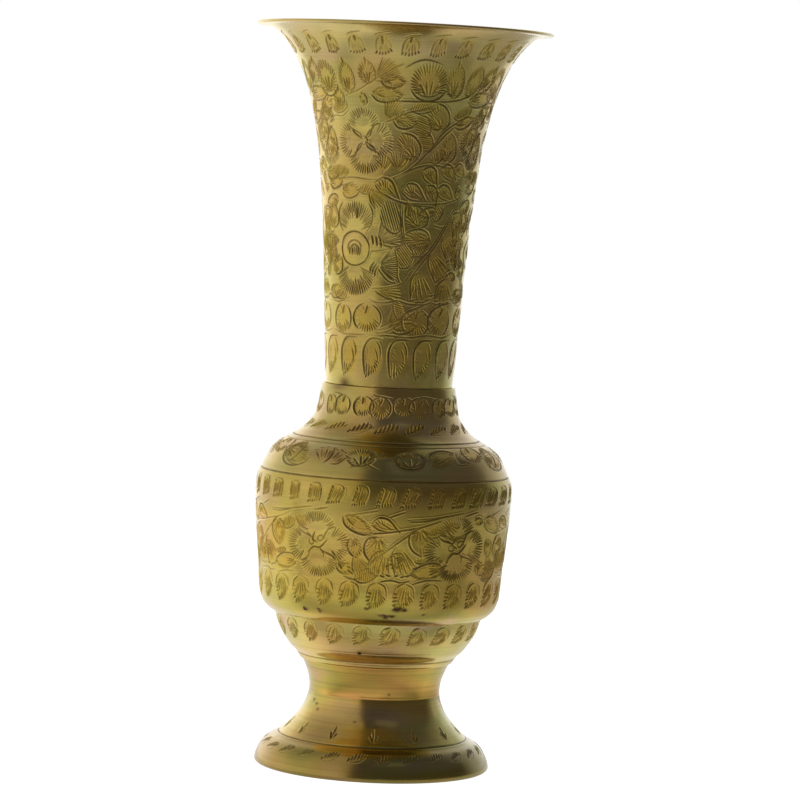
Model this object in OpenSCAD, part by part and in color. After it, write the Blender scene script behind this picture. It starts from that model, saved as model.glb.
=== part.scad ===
// Tall brass flower vase with a trumpet neck, a drum belly and a pedestal foot.
// Five turned castings are lapped into each other, spigot in socket, and brazed.
// The origin is at the middle of the ring it stands on, +Z is up, in millimetres.

/* [Vase] */
// Overall height
total_h = 300; // [290:1:310]
// Wall thickness of the castings
wall = 1.8; // [1.6:0.1:2.2]
// Number of flats that preview a round wall
facets = 96; // [48:12:144]

/* [Seams] */
// Height of the seam between foot and bowl
foot_seam_z = 43.5; // [42.5:0.5:44.5]
// Height of the seam between bowl and belly
bowl_seam_z = 62.5; // [61:0.5:64]
// Height of the seam between belly and shoulder
belly_seam_z = 120; // [118:0.5:122]
// Height of the seam between shoulder and neck
neck_seam_z = 155.5; // [153.5:0.5:157.5]
// Length of each spigot inside its socket
spigot_h = 7; // [5:0.5:7.5]
// Thickness of the brazing film round each spigot
film = 0.3; // [0.2:0.05:0.4]

/* [Neck] */
// Radius of the neck at its seam
neck_r = 25.7; // [25:0.1:26]
// How much the neck widens along its straight taper
neck_taper = 8.8; // [7:0.1:10]
// Radius of the rim
rim_r = 60; // [55:0.5:62]
// Height at which the trumpet flare starts
flare_z = 160; // [158:1:170]
// Thickness of the rim's rounded edge
lip_t = 1.4; // [1:0.1:1.6]

/* [Shoulder] */
// Radius of the collar's top edge
collar_r = 27; // [27:0.1:28]
// Radius of the shoulder where it meets the belly
shoulder_r = 50.4; // [50:0.1:51]

/* [Belly] */
// Largest radius of the belly
belly_r = 51.9; // [51:0.1:53]

/* [Bowl] */
// Radius of the bowl's top edge
bowl_r = 42; // [41.5:0.1:42.5]
// Radius of the bead at the bottom of the bowl
bead_r = 31.6; // [31:0.1:32]
// Thickness of the bowl's floor
floor_t = 2.2; // [1.8:0.1:3]

/* [Foot] */
// Radius of the foot's narrow stem
stem_r = 26.6; // [26.5:0.1:28]
// Largest radius of the foot
foot_r = 47.8; // [46:0.1:50]
// Radius of the foot's socket for the bowl
foot_socket_r = 24.6; // [24:0.1:24.6]

/* [Hidden] */

brass = [0.72, 0.58, 0.22];
spelter = [0.62, 0.46, 0.20];
curve_steps = 4;        // short cones between two stations of an outline
flare_steps = 30;       // short cones along the trumpet
flare_power = 5;        // how late the trumpet opens
flare_root = 1.9;       // how flat the trumpet ends at the rim
spigot_wall = 1.6;
groove_cut = 0.45;      // depth of a turned groove
groove_w = 1.2;

// Spigot radii, each a snug fit in the wall of the next casting
neck_spigot_r = neck_r - 0.8;
shoulder_spigot_r = shoulder_r - wall - 0.4;
bowl_spigot_r = bowl_r - 1.8;
bowl_ring_r = foot_socket_r - film;

// ---- outlines: [radius, height], from the bottom up ----

shoulder_stations = [
    [shoulder_r, belly_seam_z],
    [shoulder_r - 1.7, belly_seam_z + 3.8],
    [shoulder_r - 4.2, belly_seam_z + 8.3],
    [shoulder_r - 7.2, belly_seam_z + 11],
    [shoulder_r - 11, belly_seam_z + 13.4],
    [collar_r + 8.9, neck_seam_z - 20],
    [collar_r + 6, neck_seam_z - 17.6],
    [collar_r + 3.9, neck_seam_z - 15.2],
    [collar_r + 2.5, neck_seam_z - 12.6],
    [collar_r + 1.4, neck_seam_z - 9],
    [collar_r + 0.6, neck_seam_z - 4],
    [collar_r, neck_seam_z]
];

belly_stations = [
    [bowl_r + 1, bowl_seam_z],
    [bowl_r + 3.1, bowl_seam_z + 1.4],
    [bowl_r + 5.2, bowl_seam_z + 3.8],
    [bowl_r + 6.6, bowl_seam_z + 7.5],
    [bowl_r + 7.2, bowl_seam_z + 12],
    [belly_r - 2.3, bowl_seam_z + 19],
    [belly_r - 1.2, belly_seam_z - 28],
    [belly_r - 0.2, belly_seam_z - 14],
    [belly_r, belly_seam_z - 6],
    [belly_r - 0.4, belly_seam_z - 2.5],
    [belly_r - 1.2, belly_seam_z]
];

bowl_stations = [
    [bead_r, foot_seam_z + 1],
    [bead_r + 1.4, foot_seam_z + 3],
    [bead_r + 3.9, foot_seam_z + 5.4],
    [bead_r + 7.2, foot_seam_z + 10.2],
    [bowl_r - 1.2, bowl_seam_z - 4.6],
    [bowl_r, bowl_seam_z]
];

foot_stations = [
    [foot_r - 0.7, 0.35],
    [foot_r, 1.2],
    [foot_r - 0.6, 4],
    [foot_r - 2.3, 7.4],
    [foot_r - 5, 10.2],
    [foot_r - 9, 12.4],
    [stem_r + 7.6, 16.6],
    [stem_r + 3.4, 21.5],
    [stem_r + 1, 26.4],
    [stem_r, 31],
    [stem_r + 0.5, 36],
    [stem_r + 2.2, 40.6],
    [stem_r + 3.6, foot_seam_z]
];

// ---- curve helpers ----

// Point at t, from 0 to 1, between p1 and p2 on a smooth curve through four stations
function blend_point(p0, p1, p2, p3, t) = 0.5 * (
    2 * p1 + (p2 - p0) * t
    + (2 * p0 - 5 * p1 + 4 * p2 - p3) * t * t
    + (3 * p1 - p0 - 3 * p2 + p3) * t * t * t
);

// A smooth line through all the stations
function smooth_line(s) = let (n = len(s)) concat(
    [for (i = [0:n - 2], k = [0:curve_steps - 1])
        blend_point(s[max(i - 1, 0)], s[i], s[i + 1], s[min(i + 2, n - 1)], k / curve_steps)],
    [s[n - 1]]
);

// The trumpet's outer radius at height z: a straight taper and a flare that ends flat
function neck_radius(z) = let (
    t = (z - neck_seam_z) / (total_h - neck_seam_z),
    s = max(0, (z - flare_z) / (total_h - flare_z)),
    flare = rim_r - neck_r - neck_taper
) neck_r + neck_taper * t + flare * (1 - pow(1 - pow(s, flare_power), 1 / flare_root));

// Heights along the trumpet, closer together where it opens
function flare_height(i) = let (u = i / flare_steps)
    neck_seam_z + (total_h - lip_t - neck_seam_z) * (1 - pow(1 - u, 2.2));

neck_line = [for (i = [0:flare_steps]) [neck_radius(flare_height(i)), flare_height(i)]];

// Unit vector that points inwards from a line going up, at its point i
function inward(line, i) = let (
    a = line[max(i - 1, 0)],
    b = line[min(i + 1, len(line) - 1)],
    along = (b - a) / norm(b - a)
) [-along[1], along[0]];

// The line moved inwards by a distance
function inset(line, d) = [for (i = [0:len(line) - 1]) line[i] + d * inward(line, i)];

// The points of a line between two heights
function between(line, low, high) = [for (p = line) if (p[1] > low && p[1] < high) p];

function reversed(line) = [for (i = [len(line) - 1:-1:0]) line[i]];

// ---- solid helpers ----

module turned(points) {
    rotate_extrude($fn = facets) polygon(points);
}

// A turned groove: the ring that the lathe tool takes off at this radius and height
module groove_ring(r, z, slope = 0) {
    rotate_extrude($fn = facets)
        translate([r, z])
            rotate(slope)
                polygon([[-groove_cut, 0], [1, -groove_w], [1, groove_w]]);
}

// Film of spelter round a spigot, with a fillet under the spigot's end
module braze_ring(spigot_r, seam_z, end_z) {
    down = end_z < seam_z ? -1 : 1;
    turned([
        [spigot_r, seam_z],
        [spigot_r, end_z],
        [spigot_r - 0.7, end_z],
        [spigot_r + film, end_z + down * 1.2],
        [spigot_r + film, seam_z]
    ]);
}

// ---- the castings ----

// Trumpet neck: its spigot goes down into the collar
module neck() {
    inner = between(inset(neck_line, wall), neck_seam_z + 3, total_h - 2 * lip_t);
    color(brass) turned(concat(
        [[neck_spigot_r, neck_seam_z - spigot_h], [neck_spigot_r, neck_seam_z]],
        neck_line,
        [[rim_r - 0.5, total_h - 0.9 * lip_t], [rim_r, total_h - lip_t / 2], [rim_r - 0.5, total_h - 0.1]],
        [[rim_r - 1.2, total_h], [rim_r - 5, total_h - 0.3]],
        reversed(inner),
        [[neck_spigot_r - spigot_wall, neck_seam_z - spigot_h]]
    ));
}

// Collar and shoulder: socket for the neck above, spigot into the belly below
module shoulder() {
    line = smooth_line(shoulder_stations);
    socket_r = neck_spigot_r + film;
    inner = between(inset(line, wall), belly_seam_z + 2, neck_seam_z - spigot_h - 3);
    ridge_z = belly_seam_z + 13.4;
    color(brass) difference() {
        turned(concat(
            [[shoulder_spigot_r, belly_seam_z - spigot_h], [shoulder_spigot_r, belly_seam_z]],
            line,
            [[socket_r, neck_seam_z], [socket_r, neck_seam_z - spigot_h - 2]],
            reversed(inner),
            [[shoulder_spigot_r - spigot_wall, belly_seam_z - spigot_h]]
        ));
        groove_ring(shoulder_r - 11, ridge_z, 55);
        groove_ring(shoulder_r - 8.6, ridge_z - 1.5, 55);
    }
}

// Drum belly: socket for the shoulder above and for the bowl below
module belly() {
    line = smooth_line(belly_stations);
    top_r = shoulder_spigot_r + film;
    low_r = bowl_spigot_r + film;
    inner = between(inset(line, wall), bowl_seam_z + spigot_h + 2, belly_seam_z - spigot_h - 3);
    color(brass) turned(concat(
        line,
        [[top_r, belly_seam_z], [top_r, belly_seam_z - spigot_h - 2]],
        reversed(inner),
        [[low_r, bowl_seam_z + spigot_h + 1], [low_r, bowl_seam_z]]
    ));
}

// Bowl: closed floor, spigot up into the belly, ring down into the foot
module bowl() {
    line = smooth_line(bowl_stations);
    floor_z = foot_seam_z + floor_t;
    inner = between(inset(line, wall), floor_z + 0.5, bowl_seam_z - 2);
    color(brass) turned(concat(
        [[0, foot_seam_z], [bowl_ring_r - spigot_wall, foot_seam_z]],
        [[bowl_ring_r - spigot_wall, foot_seam_z - spigot_h], [bowl_ring_r, foot_seam_z - spigot_h]],
        [[bowl_ring_r, foot_seam_z], [bead_r - 0.6, foot_seam_z]],
        line,
        [[bowl_spigot_r, bowl_seam_z], [bowl_spigot_r, bowl_seam_z + spigot_h]],
        [[bowl_spigot_r - spigot_wall, bowl_seam_z + spigot_h]],
        reversed(inner),
        [[0, floor_z]]
    ));
}

// Pedestal foot: hollow from below, with a socket for the bowl's ring
module foot() {
    line = smooth_line(foot_stations);
    inner = between(inset(line, wall), 2, foot_seam_z - spigot_h - 3);
    groove_z = 12.4;
    color(brass) difference() {
        turned(concat(
            [[foot_r - 3, 0], [foot_r - 1.2, 0]],
            line,
            [[foot_socket_r, foot_seam_z], [foot_socket_r, foot_seam_z - spigot_h - 2]],
            reversed(inner)
        ));
        groove_ring(foot_r - 9, groove_z, 48);
    }
}

// ---- the brazed seams ----

module neck_braze() {
    color(spelter) braze_ring(neck_spigot_r, neck_seam_z, neck_seam_z - spigot_h);
}

module shoulder_braze() {
    color(spelter) braze_ring(shoulder_spigot_r, belly_seam_z, belly_seam_z - spigot_h);
}

module belly_braze() {
    color(spelter) braze_ring(bowl_spigot_r, bowl_seam_z, bowl_seam_z + spigot_h);
}

module foot_braze() {
    color(spelter) braze_ring(bowl_ring_r, foot_seam_z, foot_seam_z - spigot_h);
}

neck();
shoulder();
belly();
bowl();
foot();
neck_braze();
shoulder_braze();
belly_braze();
foot_braze();
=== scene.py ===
"""Engraved brass flower vase: five turned castings with hand-cut leaves and flowers, brazed together."""

import math

import bpy
import numpy as np
from mathutils import Euler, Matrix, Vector


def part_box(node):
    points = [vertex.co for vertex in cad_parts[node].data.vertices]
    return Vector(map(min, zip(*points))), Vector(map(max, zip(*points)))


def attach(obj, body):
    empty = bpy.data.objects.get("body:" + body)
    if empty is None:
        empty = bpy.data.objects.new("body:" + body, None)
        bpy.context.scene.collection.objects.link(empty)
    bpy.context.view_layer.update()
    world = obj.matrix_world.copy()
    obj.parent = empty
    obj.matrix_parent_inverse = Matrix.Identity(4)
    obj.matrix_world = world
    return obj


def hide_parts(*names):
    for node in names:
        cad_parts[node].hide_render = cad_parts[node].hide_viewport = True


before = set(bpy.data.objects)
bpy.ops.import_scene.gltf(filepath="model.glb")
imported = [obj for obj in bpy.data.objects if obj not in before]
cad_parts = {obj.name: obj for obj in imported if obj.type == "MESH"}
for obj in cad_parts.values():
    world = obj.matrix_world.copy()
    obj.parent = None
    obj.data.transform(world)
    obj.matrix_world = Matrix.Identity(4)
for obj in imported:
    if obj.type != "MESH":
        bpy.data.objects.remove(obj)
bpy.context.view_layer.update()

MM = 0.001
rng = np.random.default_rng(7)

# ---------------------------------------------------------------- sizes, in millimetres


def lowest(node):
    return round(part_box(node)[0][2] / MM, 1)


def highest(node):
    return round(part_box(node)[1][2] / MM, 1)


def widest(node):
    return round(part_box(node)[1][0] / MM, 1)


TOTAL_H = highest("neck")
RIM_R = 60.0
FOOT_R = widest("foot")
BELLY_R = widest("belly")
NECK_SEAM_Z = highest("shoulder")
BELLY_SEAM_Z = highest("belly")
BOWL_SEAM_Z = lowest("belly")
FOOT_SEAM_Z = highest("foot")
SPIGOT_H = NECK_SEAM_Z - lowest("neck")

WALL = 1.8
FILM = 0.3  # the gap that the brazing metal fills
SPIGOT_WALL = 1.6
NECK_R = 25.7
NECK_TAPER = 8.8
FLARE_Z = 160.0
FLARE_POWER = 5
FLARE_ROOT = 1.9
LIP_T = 1.4
COLLAR_R = 27.0
SHOULDER_R = 50.4
BOWL_R = 42.0
BEAD_R = 31.6
FLOOR_T = 2.2
STEM_R = 26.6
FOOT_SOCKET_R = 24.6
NECK_SPIGOT_R = NECK_R - 0.8
SHOULDER_SPIGOT_R = SHOULDER_R - WALL - 0.4
BOWL_SPIGOT_R = BOWL_R - 1.8
BOWL_RING_R = FOOT_SOCKET_R - FILM


def stations(radius, z, *steps):
    """Places on an outline, each given as steps outwards and up from a radius and a height."""
    return [(radius + out, z + up) for out, up in steps]


SHOULDER_STATIONS = [
    *stations(SHOULDER_R, BELLY_SEAM_Z, (0, 0), (-1.7, 3.8), (-4.2, 8.3), (-7.2, 11), (-11, 13.4)),
    *stations(COLLAR_R, NECK_SEAM_Z, (8.9, -20), (6, -17.6), (3.9, -15.2), (2.5, -12.6)),
    *stations(COLLAR_R, NECK_SEAM_Z, (1.4, -9), (0.6, -4), (0, 0)),
]
BELLY_STATIONS = [
    *stations(BOWL_R, BOWL_SEAM_Z, (1, 0), (3.1, 1.4), (5.2, 3.8), (6.6, 7.5), (7.2, 12)),
    *stations(BELLY_R, BOWL_SEAM_Z, (-2.3, 19)),
    *stations(BELLY_R, BELLY_SEAM_Z, (-1.2, -28), (-0.2, -14), (0, -6), (-0.4, -2.5), (-1.2, 0)),
]
BOWL_STATIONS = [
    *stations(BEAD_R, FOOT_SEAM_Z, (0, 1), (1.4, 3), (3.9, 5.4), (7.2, 10.2)),
    *stations(BOWL_R, BOWL_SEAM_Z, (-1.2, -4.6), (0, 0)),
]
FOOT_STATIONS = [
    *stations(FOOT_R, 0, (-0.7, 0.35), (0, 1.2), (-0.6, 4), (-2.3, 7.4), (-5, 10.2), (-9, 12.4)),
    *stations(STEM_R, 0, (7.6, 16.6), (3.4, 21.5), (1, 26.4), (0, 31), (0.5, 36), (2.2, 40.6)),
    *stations(STEM_R, FOOT_SEAM_Z, (3.6, 0)),
]

# ---------------------------------------------------------------- outlines


def run_of(line):
    """How far along a line each of its points is."""
    return np.r_[0, np.cumsum(np.linalg.norm(np.diff(line, axis=0), axis=1))]


def outwards(line):
    """The direction square to a line that goes up, away from the axis."""
    along = np.gradient(line, axis=0)
    along /= np.linalg.norm(along, axis=1)[:, None]
    return np.stack([along[:, 1], -along[:, 0]], 1)


def smooth_line(stations, steps=16):
    """A smooth curve through the stations, the same curve as the castings' outlines."""
    s = np.array(stations, float)
    last = len(s) - 1
    points = []
    for i in range(last):
        p0, p1, p2, p3 = s[max(i - 1, 0)], s[i], s[i + 1], s[min(i + 2, last)]
        for k in range(steps):
            t = k / steps
            points.append(
                0.5 * (2 * p1 + (p2 - p0) * t + (2 * p0 - 5 * p1 + 4 * p2 - p3) * t * t
                       + (3 * p1 - p0 - 3 * p2 + p3) * t**3)
            )
    points.append(s[last])
    return np.array(points)


def neck_line(steps=160):
    """The trumpet: a straight taper, and a flare that ends nearly flat at the rim."""
    u = np.linspace(0, 1, steps)
    z = NECK_SEAM_Z + (TOTAL_H - LIP_T - NECK_SEAM_Z) * (1 - (1 - u) ** 2.2)
    t = (z - NECK_SEAM_Z) / (TOTAL_H - NECK_SEAM_Z)
    s = np.clip((z - FLARE_Z) / (TOTAL_H - FLARE_Z), 0, 1)
    flare = RIM_R - NECK_R - NECK_TAPER
    r = NECK_R + NECK_TAPER * t + flare * (1 - (1 - s**FLARE_POWER) ** (1 / FLARE_ROOT))
    return np.stack([r, z], 1)


def inset(line, distance):
    return line - distance * outwards(line)


def between(line, low, high):
    return line[(line[:, 1] > low) & (line[:, 1] < high)]


def resampled(points, step):
    """The same polyline with its points about a step apart, corners kept."""
    out = [points[0]]
    for a, b in zip(points[:-1], points[1:]):
        n = max(1, int(math.ceil(np.linalg.norm(b - a) / step)))
        out += [a + (b - a) * k / n for k in range(1, n + 1)]
    return np.array(out)


def evenly(line, count):
    """Count points at even distances along a line."""
    path = run_of(line)
    at = np.linspace(0, path[-1], count)
    return np.stack([np.interp(at, path, line[:, k]) for k in (0, 1)], 1)


def even(line, step):
    """Points about a step apart along a line."""
    return evenly(line, int(run_of(line)[-1] / step) + 1)


def softened(points, cut=0.18):
    """Corners of a polyline taken off by a small chamfer, so that edges catch the light."""
    p = np.array(points, float)
    out = [p[0]]
    for a, b, c in zip(p[:-2], p[1:-1], p[2:]):
        for end in (a, c):
            reach = np.linalg.norm(end - b)
            out.append(b + (end - b) * min(cut / reach, 0.4))
    out.append(p[-1])
    return np.array(out)


# ---------------------------------------------------------------- a wall that can be engraved


class Wall:
    """The outer face of a casting as a grid: rows up the outline, columns round it from the back.

    cut, burr and relief are in millimetres. worked marks the leaves, whose ground is dulled by the
    tools, and stain marks crust and heat marks; both run from 0 to 1. Angles are in degrees from zero,
    which is the middle of the field being cut."""

    def __init__(self, line, columns, step):
        self.line = even(line, step)
        self.r = self.line[:, 0]
        self.z = self.line[:, 1]
        self.path = run_of(self.line)
        self.out = outwards(self.line)
        self.columns = columns
        self.zero = 0.0
        self.angle = np.arange(columns) * 2 * math.pi / columns - math.pi
        grids = np.zeros((5, len(self.r), columns), np.float32)
        self.cut, self.burr, self.stain, self.relief, self.worked = grids

    def path_at(self, z):
        return float(np.interp(z, self.z, self.path))

    def radius_at(self, z):
        return float(np.interp(z, self.z, self.r))

    def window(self, angle, start, low, high):
        """The grid points near a mark, and their places from its anchor: x to the right, y upwards."""
        angle = math.radians(angle + self.zero)
        top = len(self.path) - 1
        step = self.path[1]
        first = int(np.clip((start + low[1]) / step, 0, top))
        last = int(np.clip((start + high[1]) / step + 1, 0, top))
        rows = np.arange(first, last + 1)
        radius = self.r[rows]
        left = angle + low[0] / radius.min()
        right = angle + high[0] / radius.min()
        pitch = 2 * math.pi / self.columns
        column = np.arange(int((left + math.pi) / pitch) - 1, int((right + math.pi) / pitch) + 2)
        turn = column * pitch - math.pi - angle
        x = (radius[:, None] * turn[None, :]).astype(np.float32)
        y = np.broadcast_to((self.path[rows] - start)[:, None], x.shape).astype(np.float32)
        return np.ix_(rows, column % self.columns), x, y

    def engrave(self, angle, z, points, width, depth):
        """Cuts one graver stroke along a polyline, in millimetres from the anchor at angle and height z."""
        p = np.asarray(points, np.float32)
        reach = width / 2 + 0.55
        where, x, y = self.window(angle, self.path_at(z), p.min(0) - reach, p.max(0) + reach)
        if x.size == 0:
            return
        leg_x, leg_y = np.diff(p, axis=0).T[:, :, None, None]
        length = np.maximum(np.hypot(leg_x, leg_y), 1e-4)
        begun = (np.cumsum(length, axis=0) - length).astype(np.float32)
        dx = x - p[:-1, 0, None, None]
        dy = y - p[:-1, 1, None, None]
        t = np.clip((dx * leg_x + dy * leg_y) / length**2, 0, 1)
        gaps = np.hypot(dx - t * leg_x, dy - t * leg_y)
        nearest = gaps.argmin(0)[None]
        gap = np.take_along_axis(gaps, nearest, 0)[0]
        run = np.take_along_axis(begun + t * length, nearest, 0)[0] / length.sum()
        swell = np.clip(4.2 * run * (1 - run), 0, 1) ** 0.4
        half = width / 2 * (0.6 + 0.4 * swell)
        q = gap / half
        groove = depth * swell * np.clip(1.1 - q, 0, 1)
        lift = 0.32 * depth * swell * np.exp(-(((gap - half - 0.2) / 0.2) ** 2))
        self.cut[where] = np.maximum(self.cut[where], groove)
        self.burr[where] = np.maximum(self.burr[where], lift)

    def dish(self, angle, z, middle, radii, depth, matrix=np.eye(2), worked=False):
        """Presses a shallow oval hollow; middle and radii lie in the motif's own turned axes."""
        reach = np.full(2, 1.3 * max(radii))
        shift = np.asarray(middle) @ matrix
        where, x, y = self.window(angle, self.path_at(z), shift - reach, shift + reach)
        local = np.stack([x - shift[0], y - shift[1]], -1) @ matrix.T
        q = np.hypot(local[..., 0] / max(radii[0], 0.5), local[..., 1] / max(radii[1], 0.5))
        hollow = -depth * np.clip(1.2 - q * q, 0, 1) ** 2
        self.relief[where] = np.minimum(self.relief[where], hollow)
        if worked:
            self.worked[where] = np.maximum(self.worked[where], np.clip(2.4 * (1.1 - q), 0, 1))

    def ring(self, z, width=0.8, depth=0.3):
        """A turned groove all the way round."""
        q = (self.path - self.path_at(z)) / (width / 2)
        groove = depth * np.clip(1 - q * q, 0, 1)
        lift = 0.12 * depth * np.exp(-(((np.abs(q) - 1.4) / 0.5) ** 2))
        self.cut = np.maximum(self.cut, groove[:, None].astype(np.float32))
        self.burr = np.maximum(self.burr, lift[:, None].astype(np.float32))

    def hollows(self, depth, places):
        """Shallow hollows in the bare ground: (angle, height, half width, half height) of each."""
        for angle, z, wide, tall in places:
            self.dish(angle, z, (0, 0), (wide, tall), depth)

    def blot(self, angle, z, wide, tall, strength=1.0, swell=0.0):
        """A soft stain, which stands proud by swell millimetres if it is crust."""
        reach = 2.4 * np.array([wide, tall])
        where, x, y = self.window(angle, self.path_at(z), -reach, reach)
        spot = np.exp(-((x / wide) ** 2 + (y / tall) ** 2))
        self.stain[where] = np.maximum(self.stain[where], strength * spot)
        self.relief[where] = np.maximum(self.relief[where], swell * spot)

    def crust(self, angle, z, wide, tall, grains):
        """A patch of burnt flux: grains of it, thickest in the middle."""
        for _ in range(grains):
            x, y = rng.normal(0, 0.4, 2) * (wide, tall)
            size = rng.uniform(0.5, 1.4)
            strength = rng.uniform(0.45, 0.85)
            self.blot(angle + math.degrees(x / self.radius_at(z)), z + y, size, 0.55 * size, strength, 0.2)

    def height(self):
        """How far each grid point stands out of the turned surface."""
        return self.relief + self.burr * np.clip(1 - self.cut / 0.04, 0, 1) - self.cut


# ---------------------------------------------------------------- strokes of the ornament
# A pen is the width and depth of a cut, and a motif is a list of strokes: (points, width, depth).
# Leaves grow along x from their stalk at 0, and shells hang down from 0.

BOLD = (0.85, 0.34)
LINE = (0.66, 0.26)
TICK = (0.54, 0.22)
HAIR = (0.45, 0.15)
BORDER = (0.75, 0.3)
CIRCLE = (0.7, 0.34)
NICK = (1.15, 0.42)
NOTCH = (1.3, 0.45)
HAND_TURN = 1.5  # how much a hand misses the direction of a motif, in degrees
HAND_SLIP = 0.06  # and the place of a stroke, in millimetres


def arc(cx, cy, rx, ry, start, end, n=10):
    a = np.radians(np.linspace(start, end, n))
    return np.stack([cx + rx * np.cos(a), cy + ry * np.sin(a)], 1)


def bend(*points, n=9):
    """A smooth curve through a few points."""
    if len(points) == 2:
        return np.array(points, float)
    return smooth_line(points, max(2, n // (len(points) - 1)))


def stroke(*points, pen=LINE, n=9):
    return (bend(*points, n=n), *pen)


def scaled(strokes, x, y):
    return [(points * np.array([x, y]), width, depth) for points, width, depth in strokes]


def turning(degrees):
    """The matrix that turns rows of points anticlockwise."""
    c, s = math.cos(math.radians(degrees)), math.sin(math.radians(degrees))
    return np.array([[c, s], [-s, c]])


def turned(strokes, degrees):
    return [(points @ turning(degrees), width, depth) for points, width, depth in strokes]


def ticks(edge, focus, count, length, pen=TICK):
    """Cuts that start on an edge and run towards a focus."""
    strokes = []
    for point in evenly(edge, count):
        way = np.subtract(focus, point)
        reach = length * rng.uniform(0.8, 1.2) / np.hypot(*way)
        strokes.append(stroke(point, point + way * min(reach, 0.9), pen=pen))
    return strokes


def side_of_leaf(length, half, side):
    return bend((0, 0), (0.16, 0.78), (0.46, 1), (0.78, 0.7), (1, 0), n=16) * (length, side * half)


def leaf(length, width, side=-1):
    """A leaf with one deep edge, one toothed edge, and a few strong cuts at its root."""
    half = width / 2
    root = (0.1 * length, 0)
    deep = side_of_leaf(length, half, side)
    strokes = [(deep, *BOLD)]
    strokes += ticks(side_of_leaf(length, half, -side)[2:], root, int(length * 1.05), 0.8 * half)
    strokes += ticks(deep[3:-1] * (0.98, 0.8), root, int(length * 0.8), 0.6 * half, HAIR)
    veins = [stroke((0.12, 0.15 * k), (0.44, 0.8 * k)) for k in (-0.5, 0, 0.5)]
    return strokes + scaled(veins, length, half)


def feather(length, width):
    """A pointed leaf: one smooth edge, one toothed edge, a nick at its tip and strong cuts at its root."""
    half = width / 2
    root = (0.1 * length, 0)
    smooth = side_of_leaf(length, half, -1)
    toothed = side_of_leaf(length, half, 1)
    strokes = [stroke((0.84 * length, 0), (1.08 * length, 0), pen=BOLD), (smooth, *LINE)]
    strokes += ticks(smooth[3:], root, int(length * 0.7), 0.6 * half)
    strokes += ticks(toothed[1:], root, int(length * 0.85), 0.85 * half, LINE)
    veins = [stroke((0.1, 0.2 * k), (0.5, 0.75 * k), pen=BOLD) for k in (-0.5, 0, 0.5)]
    return strokes + scaled(veins, length, half)


def sheaf(length, width):
    """A rounded leaf filled with long cuts that spread from its stalk."""
    strokes = []
    for k in np.linspace(-1, 1, max(5, int(width / 0.85))):
        end = ((1 - 0.2 * k * k) * rng.uniform(0.94, 1.04), k)
        strokes.append(stroke((0.22, 0.25 * k), (0.6, 0.75 * k), end, pen=TICK))
    strokes.append(stroke((0, 0), (0.4, -0.8), (0.8, -1.05)))
    return scaled(strokes, length, width / 2)


def slats(length, width, slant=0.5):
    """A leaf filled with slanted cuts side by side."""
    half = width / 2
    strokes = []
    for t in np.linspace(0.08, 0.92, max(5, int(length / 0.95))):
        middle = np.array([t * length, 0])
        reach = half * math.sin(math.pi * t) ** 0.6 * np.array([slant, 1])
        strokes.append(stroke(middle - reach, middle + reach, pen=TICK))
    return strokes + [(side_of_leaf(length, half * 1.08, -1), *LINE)]


def tuft(length, width, fingers=5):
    """A leaf that ends in rounded fingers and is filled with strong cuts that spread from its root."""
    strokes = []
    for k in np.linspace(-1, 1, fingers):
        tip = 1 - 0.14 * k * k
        strokes.append((arc(0.95 * tip, 0.95 * k, 0.5 / length, 1.1 / fingers, -80, 80, 5), *LINE))
        strokes.append(stroke((0.22, 0.4 * k), (0.55, 0.76 * k), (0.88 * tip, 0.94 * k)))
    for k in np.linspace(-0.8, 0.8, fingers - 1):
        end = ((0.78 - 0.12 * k * k) * rng.uniform(0.85, 1.05), 0.9 * k)
        strokes.append(stroke((0.4, 0.6 * k), end, pen=TICK))
    strokes.append(stroke((0, 0), (0.25, -0.75), (0.86, -1.08), pen=BOLD))
    return scaled(strokes, length, width / 2)


def wave(length, width):
    """A plain leaf drawn as one deep double curve with a short cut inside."""
    half = width / 2
    top = stroke((0, 0), (0.22, 1), (0.55, 0.9), (0.82, -0.2), (1, -1), pen=BOLD)
    low = stroke((0.02, -0.2), (0.3, -0.9), (0.7, -1))
    edge = bend((0.05, 0), (0.2, 0.7), (0.42, 0.75)) * (length, half)
    strokes = scaled([top, low], length, half)
    strokes += ticks(edge, (0.5 * length, -half), 5, 0.9 * half)
    return strokes + scaled([stroke((0.4, 0.1), (0.72, -0.55), pen=TICK)], length, half)


def bud(width, height, stamens=4):
    """A round open bud: x across, y up. Cuts round its rim, stamens, and a deep double arc under it."""
    rx, ry = width / 2, height / 2
    strokes = ticks(arc(0, 0, rx, ry, -35, 215, 40), (0, -0.5 * ry), int(width * 1.7), 0.52 * ry, LINE)
    under = [(arc(0, 0, 1, 1, 200, 340, 14), *BOLD), (arc(0, 0.06, 0.86, 0.84, 215, 330, 12), *TICK)]
    for k in np.linspace(-1, 1, stamens):
        under.append(stroke((0.14 * k, -0.78), (0.5 * k, 0.12 - 0.22 * abs(k)), pen=BOLD))
    return strokes + scaled(under, rx, ry)


def petal(length, width, spread):
    """A round petal that opens along x from the flower's middle at 0, with long cuts all round its edge."""
    cx, rx, ry = 0.6 * length, 0.4 * length, width / 2
    rim = arc(cx, 0, rx, ry, -spread, spread, 36)
    around = math.radians(2 * spread) * (rx + ry) / 2
    strokes = ticks(rim, (0.55 * cx, 0), int(around / 1.12), 0.8 * rx, LINE)
    inward = [(0.36 * length, 0.8 * ry), (0.2 * length, 0.25 * ry), (0.06 * length, 0.16 * ry)]
    return strokes + [stroke(rim[-1], *inward, pen=BORDER)]


def flower(width, height, faces=(0, 90, 180, 270), clear=0.0):
    """Round petals that open to the given sides, with no cut ending nearer to the middle than clear."""
    strokes = []
    for face in faces:
        sideways = face in (0, 180)
        size = (width / 2, 0.52 * height, 84) if sideways else (height / 2, 0.58 * width, 100)
        strokes += turned(petal(*size), face)
    return [each for each in strokes if np.hypot(*each[0][-1]) > clear]


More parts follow.
